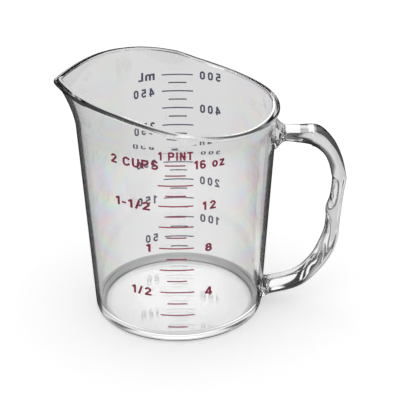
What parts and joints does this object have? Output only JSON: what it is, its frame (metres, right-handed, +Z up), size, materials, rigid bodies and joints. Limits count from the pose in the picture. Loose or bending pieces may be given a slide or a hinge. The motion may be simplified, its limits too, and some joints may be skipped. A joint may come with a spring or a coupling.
{
  "type": "measuring cup",
  "caption": "Clear one-pint measuring cup with a raised pointed pouring lip, a C-shaped finger-grip handle and two printed scales.",
  "frame": {"origin": "middle of the flat underside that rests on the table", "axes": "+Z up, +X from the cup's axis towards the handle, so the pouring lip points to -X; the ounce scale faces -Y and the millilitre scale +Y"},
  "size_m": [0.1336, 0.0986, 0.1165],
  "materials": {
    "clear_plastic": "clear and glossy",
    "red_ink": "printed ink",
    "blue_ink": "printed ink"
  },
  "bodies": {
    "root": {"cup_body": "clear_plastic", "handle": "clear_plastic", "ounce_mark_01": "red_ink", "ounce_mark_02": "red_ink", "ounce_mark_03": "red_ink", "ounce_mark_04": "red_ink", "ounce_mark_05": "red_ink", "ounce_mark_06": "red_ink", "ounce_mark_07": "red_ink", "ounce_mark_08": "red_ink", "ounce_mark_09": "red_ink", "ounce_mark_10": "red_ink", "ounce_mark_11": "red_ink", "ounce_mark_12": "red_ink", "ounce_mark_13": "red_ink", "ounce_mark_14": "red_ink", "ounce_mark_15": "red_ink", "ounce_mark_16": "red_ink", "millilitre_mark_025": "blue_ink", "millilitre_mark_050": "blue_ink", "millilitre_mark_075": "blue_ink", "millilitre_mark_100": "blue_ink", "millilitre_mark_125": "blue_ink", "millilitre_mark_150": "blue_ink", "millilitre_mark_175": "blue_ink", "millilitre_mark_200": "blue_ink", "millilitre_mark_225": "blue_ink", "millilitre_mark_250": "blue_ink", "millilitre_mark_275": "blue_ink", "millilitre_mark_300": "blue_ink", "millilitre_mark_325": "blue_ink", "millilitre_mark_350": "blue_ink", "millilitre_mark_375": "blue_ink", "millilitre_mark_400": "blue_ink", "millilitre_mark_425": "blue_ink", "millilitre_mark_450": "blue_ink", "millilitre_mark_475": "blue_ink", "millilitre_mark_500": "blue_ink"}
  },
  "joints": []
}
